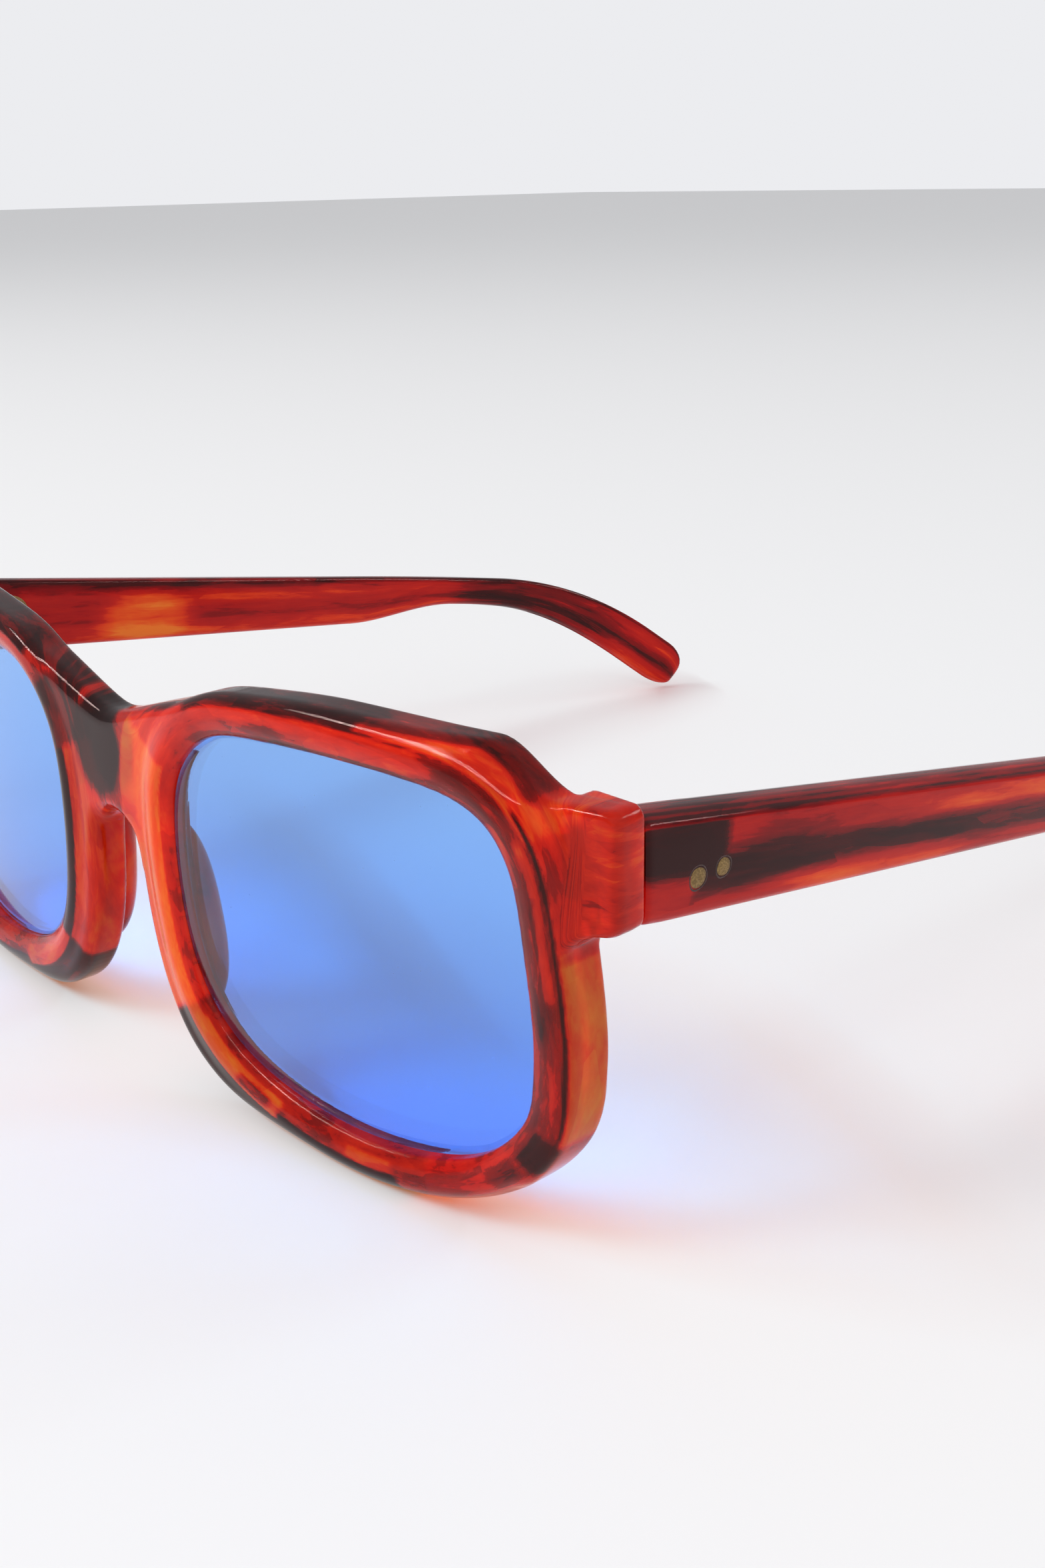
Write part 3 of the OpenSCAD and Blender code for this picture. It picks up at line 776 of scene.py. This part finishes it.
def math_node(nodes, links, operation, a, b):
    """Result of an operation on two values, each a number or another node's output."""
    node = nodes.new("ShaderNodeMath")
    node.operation = operation
    for socket, value in zip(node.inputs, (a, b)):
        if isinstance(value, (int, float)):
            socket.default_value = value
        else:
            links.new(value, socket)
    return node.outputs[0]


def noise(nodes, links, vector, scale, detail, rough, distort=0.0):
    """Noise from 0 to 1 at a place; without a place it spreads over the piece's own box."""
    node = nodes.new("ShaderNodeTexNoise")
    node.inputs["Scale"].default_value = scale
    node.inputs["Detail"].default_value = detail
    node.inputs["Roughness"].default_value = rough
    node.inputs["Distortion"].default_value = distort
    if vector is not None:
        links.new(vector, node.inputs["Vector"])
    return node.outputs["Fac"]


def ramp(nodes, links, factor, stops, mode="EASE"):
    """Colour picked by a factor, from stops given as (position, colour)."""
    node = nodes.new("ShaderNodeValToRGB")
    node.color_ramp.interpolation = mode
    elements = node.color_ramp.elements
    while len(elements) < len(stops):
        elements.new(0.5)
    for element, (at, colour) in zip(elements, stops):
        element.position = at
        element.color = (*colour, 1)
    links.new(factor, node.inputs[0])
    return node.outputs[0]


def attribute(nodes, name, output):
    """What a piece stores at its points under a name: output is Fac for a number and Vector for a vector."""
    node = nodes.new("ShaderNodeAttribute")
    node.attribute_name = name
    return node.outputs[output]


def grey(value):
    """Colour with the same value in each channel."""
    return (value, value, value)


def add_bump(nodes, links, shader, height, strength, distance):
    """Fine relief on the surface."""
    bump = nodes.new("ShaderNodeBump")
    bump.inputs["Strength"].default_value = strength
    bump.inputs["Distance"].default_value = distance
    links.new(height, bump.inputs["Height"])
    links.new(bump.outputs[0], shader.inputs["Normal"])


def object_place(nodes):
    """Coordinates in metres that stay with the piece."""
    return nodes.new("ShaderNodeTexCoord").outputs["Object"]


def acetate_material(name, stops, shadow_tint, clear):
    """Polished tortoiseshell acetate: tone and streaked noise pick the colour, from dark brown to amber."""
    material, nodes, links, shader = new_material(name)
    streak = attribute(nodes, "streak", "Vector")
    total = attribute(nodes, "tone", "Fac")
    cells = nodes.new("ShaderNodeTexVoronoi")
    cells.inputs["Scale"].default_value = 1.4
    links.new(streak, cells.inputs["Vector"])
    layers = [
        (noise(nodes, links, streak, 1.0, 3.0, 0.5, 0.8), 0.50),
        (noise(nodes, links, streak, 4.5, 3.0, 0.6, 1.0), 0.22),
        (cells.outputs["Color"], 0.16),
    ]
    for value, amount in layers:
        centred = math_node(nodes, links, "SUBTRACT", value, 0.5)
        share = math_node(nodes, links, "MULTIPLY", centred, amount)
        total = math_node(nodes, links, "ADD", total, share)
    links.new(ramp(nodes, links, total, stops, "LINEAR"), shader.inputs["Base Color"])
    shader.inputs["Roughness"].default_value = 0.045
    shader.inputs["IOR"].default_value = 1.49
    shader.inputs["Specular IOR Level"].default_value = 0.19
    shader.inputs["Specular Tint"].default_value = (1.0, 0.60, 0.56, 1)
    shader.inputs["Transmission Weight"].default_value = clear
    wear = noise(nodes, links, None, 900.0, 4.0, 0.6)
    add_bump(nodes, links, shader, wear, 0.04, 0.0002)
    shadow_through(nodes, links, shader, shadow_tint)
    return material


def shadow_through(nodes, links, shader, tint):
    """Lets tinted light through to shadows, as clear plastic and glass do."""
    clear = nodes.new("ShaderNodeBsdfTransparent")
    clear.inputs["Color"].default_value = (*tint, 1)
    path = nodes.new("ShaderNodeLightPath")
    mix = nodes.new("ShaderNodeMixShader")
    links.new(path.outputs["Is Shadow Ray"], mix.inputs[0])
    links.new(shader.outputs[0], mix.inputs[1])
    links.new(clear.outputs[0], mix.inputs[2])
    output = next(n for n in nodes if n.type == "OUTPUT_MATERIAL")
    links.new(mix.outputs[0], output.inputs["Surface"])


def lens_material():
    """Cobalt glass with painted light, paler towards the top where the brighter table shows through it, and
    with dull specks of dust.
    """
    material, nodes, links, shader = new_material("cobalt_lens")
    place = object_place(nodes)
    dust = noise(nodes, links, place, 2500.0, 2.0, 0.5)
    marks = [(0.0, grey(0.02)), (0.7, grey(0.02)), (0.82, grey(0.35))]
    links.new(ramp(nodes, links, dust, marks), shader.inputs["Roughness"])
    split = nodes.new("ShaderNodeSeparateXYZ")
    links.new(place, split.inputs[0])
    height = math_node(nodes, links, "MULTIPLY", split.outputs["Z"], 1000 / RIM_TOP)
    # painted light: the blue grows paler towards the top, standing in for the bright table seen through the
    # upper lens
    painted_light_grade = [(0.10, (0.12, 0.29, 0.90)), (0.45, (0.17, 0.40, 1.0)), (0.92, (0.24, 0.50, 1.0))]
    links.new(ramp(nodes, links, height, painted_light_grade, "LINEAR"), shader.inputs["Base Color"])
    shader.inputs["IOR"].default_value = 1.5
    shader.inputs["Transmission Weight"].default_value = 1.0
    shadow_through(nodes, links, shader, (0.75, 0.82, 0.97))
    return material


def metal_material(name, light, dark, rough):
    """Aged metal whose duller spots are also darker."""
    material, nodes, links, shader = new_material(name)
    mottle = noise(nodes, links, object_place(nodes), 6500.0, 2.0, 0.5)
    colours = [(0.35, dark), (0.65, light)]
    links.new(ramp(nodes, links, mottle, colours), shader.inputs["Base Color"])
    polish = [(0.3, grey(rough + 0.2)), (0.7, grey(rough))]
    links.new(ramp(nodes, links, mottle, polish), shader.inputs["Roughness"])
    shader.inputs["Metallic"].default_value = 1.0
    add_bump(nodes, links, shader, mottle, 0.3, 0.0001)
    return material


def dark_ring_material():
    """Dark, mottled colour of the rings round the rivets."""
    material, nodes, links, shader = new_material("rivet_dark_ring")
    mottle = noise(nodes, links, object_place(nodes), 3000.0, 3.0, 0.6)
    colours = [(0.3, (0.012, 0.006, 0.005)), (0.75, (0.09, 0.03, 0.025))]
    links.new(ramp(nodes, links, mottle, colours), shader.inputs["Base Color"])
    shader.inputs["Roughness"].default_value = 0.35
    return material


# ---------------------------------------------------------------- assembly
# Colours from the darkest tone to the clearest; steep steps between close stops give the patches an edge
FRONT_STOPS = [
    (0.10, (0.012, 0.002, 0.002)), (0.24, (0.040, 0.003, 0.003)), (0.27, (0.13, 0.003, 0.003)),
    (0.42, (0.32, 0.005, 0.003)), (0.45, (0.56, 0.008, 0.003)), (0.62, (0.84, 0.022, 0.004)),
    (0.68, (0.93, 0.055, 0.006)), (0.80, (0.97, 0.115, 0.010)), (1.0, (1.0, 0.27, 0.022)),
]
TEMPLE_STOPS = [
    (0.10, (0.022, 0.002, 0.003)), (0.24, (0.065, 0.003, 0.004)), (0.28, (0.16, 0.003, 0.005)),
    (0.42, (0.30, 0.003, 0.005)), (0.46, (0.44, 0.005, 0.006)), (0.64, (0.60, 0.012, 0.006)),
    (0.72, (0.80, 0.042, 0.007)), (0.86, (0.90, 0.095, 0.010)), (1.0, (0.95, 0.22, 0.022)),
]
front_acetate = acetate_material("front_tortoiseshell", FRONT_STOPS, (0.82, 0.46, 0.20), 0.50)
temple_acetate = acetate_material("temple_tortoiseshell", TEMPLE_STOPS, (0.55, 0.16, 0.09), 0.20)
cobalt = lens_material()
brass = metal_material("aged_brass", (0.30, 0.20, 0.085), (0.20, 0.13, 0.058), 0.36)
steel = metal_material("worn_steel", (0.42, 0.40, 0.36), (0.20, 0.18, 0.15), 0.30)
rivet_ring_colour = dark_ring_material()


def finish_piece(piece, body, material, slot, *nodes):
    """Gives a piece its material and body, and hides the CAD nodes that it stands for; the slot is not used.
    """
    piece.data.materials.append(material)
    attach(piece, body)
    if nodes:
        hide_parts(*nodes)


def dress_node(name, material):
    """Gives a carried-over CAD node its material."""
    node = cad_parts[name]
    node.data.materials.clear()
    node.data.materials.append(material)


finish_piece(build_front(), "front", front_acetate, "acetate", "front_frame")
for side in ("left", "right"):
    finish_piece(build_lens(side), "front", cobalt, "tinted_lens", f"lens_{side}")
    finish_piece(build_pad(side), "front", front_acetate, "acetate", f"nose_pad_{side}")
    body = f"{side}_temple"
    finish_piece(build_temple(side), body, temple_acetate, "acetate", f"temple_{side}")
    for k, name in enumerate(RIVET_NAMES):
        finish_piece(build_rivet(side, k), body, brass, "rivet_brass", f"{name}_{side}")
        finish_piece(build_rivet_seat(side, k), body, rivet_ring_colour, "acetate")
    dress_node(f"front_hinge_{side}", brass)
    dress_node(f"temple_hinge_{side}", brass)
    dress_node(f"hinge_screw_{side}", steel)


# ---------------------------------------------------------------- floor, light and camera
def build_floor():
    """Plain pale table top."""
    reach = 6.0
    corners = [(-reach, -reach, 0), (reach, -reach, 0), (reach, reach, 0), (-reach, reach, 0)]
    floor = mesh_object("floor", corners, [(0, 1, 2, 3)], smooth=False)
    material, nodes, links, shader = new_material("pale_table")
    shader.inputs["Base Color"].default_value = (0.865, 0.865, 0.87, 1)
    shader.inputs["Roughness"].default_value = 0.55
    shader.inputs["Specular IOR Level"].default_value = 0.2
    floor.data.materials.append(material)


def area_light(name, place, target, size, power, colour):
    """Long narrow window that faces a target."""
    data = bpy.data.lights.new(name, "AREA")
    data.shape = "RECTANGLE"
    data.size, data.size_y = size
    data.energy = power
    data.color = colour
    light = bpy.data.objects.new(name, data)
    light.location = place
    light.rotation_euler = (Vector(target) - Vector(place)).to_track_quat("-Z", "Y").to_euler()
    bpy.context.scene.collection.objects.link(light)


def sun_light(name, towards, strength, softness, colour):
    """Even daylight from a direction, with soft shadows."""
    data = bpy.data.lights.new(name, "SUN")
    data.energy = strength
    data.angle = math.radians(softness)
    data.color = colour
    light = bpy.data.objects.new(name, data)
    light.rotation_euler = Vector(towards).to_track_quat("Z", "Y").to_euler()
    bpy.context.scene.collection.objects.link(light)


def build_world():
    """Pale room: bright towards the horizon and dimmer overhead."""
    world = bpy.data.worlds.new("studio")
    bpy.context.scene.world = world
    world.use_nodes = True
    nodes, links = world.node_tree.nodes, world.node_tree.links
    direction = nodes.new("ShaderNodeTexCoord")
    split = nodes.new("ShaderNodeSeparateXYZ")
    links.new(direction.outputs["Generated"], split.inputs[0])
    stops = [(0.0, (0.40, 0.405, 0.42)), (0.18, (0.38, 0.385, 0.40)), (0.6, (0.50, 0.505, 0.52))]
    room = ramp(nodes, links, split.outputs["Z"], stops)
    seen = nodes.new("ShaderNodeMix")
    seen.data_type = "RGBA"
    path = nodes.new("ShaderNodeLightPath")
    links.new(path.outputs["Is Camera Ray"], seen.inputs["Factor"])
    links.new(room, seen.inputs["A"])
    seen.inputs["B"].default_value = (0.84, 0.845, 0.87, 1)
    links.new(seen.outputs["Result"], nodes["Background"].inputs[0])


def build_camera():
    """Camera above the wearer's left front, looking back across the lens to the far temple."""
    place = (np.array([154.458, -81.968, 92.127]) + SHIFT) / 1000
    yaw, pitch, roll = 0.827, 0.345, -0.020
    forward = Vector((-math.sin(yaw) * math.cos(pitch), math.cos(yaw) * math.cos(pitch), -math.sin(pitch)))
    level = Vector((math.cos(yaw), math.sin(yaw), 0))
    upright = level.cross(forward)
    right = math.cos(roll) * level + math.sin(roll) * upright
    up = -math.sin(roll) * level + math.cos(roll) * upright
    data = bpy.data.cameras.new("camera")
    data.lens = 39.02
    data.sensor_width = 36
    data.clip_start = 0.005
    data.clip_end = 50
    camera = bpy.data.objects.new("camera", data)
    turn = Matrix((right, up, -forward)).transposed().to_4x4()
    camera.matrix_world = Matrix.Translation(Vector(place)) @ turn
    bpy.context.scene.collection.objects.link(camera)
    bpy.context.scene.camera = camera


build_floor()
build_world()
sun_light("daylight", towards=(-0.36, -0.62, 0.70), strength=0.62, softness=16, colour=(1.0, 0.99, 0.97))
sun_light("fill", towards=(0.95, -0.12, 0.28), strength=0.60, softness=100, colour=(1.0, 0.99, 0.98))
area_light(
    "long_window", place=(-0.38, -1.04, 1.14), target=(0.02, -0.05, 0.03),
    size=(1.8, 0.040), power=14.0, colour=(1.0, 0.995, 0.99),
)
area_light(
    "back_window", place=(0.68, 1.17, 0.92), target=(0.06, 0.0, 0.04),
    size=(0.55, 0.03), power=2.4, colour=(1.0, 1.0, 1.0),
)
build_camera()
bpy.context.scene.view_settings.view_transform = "Standard"
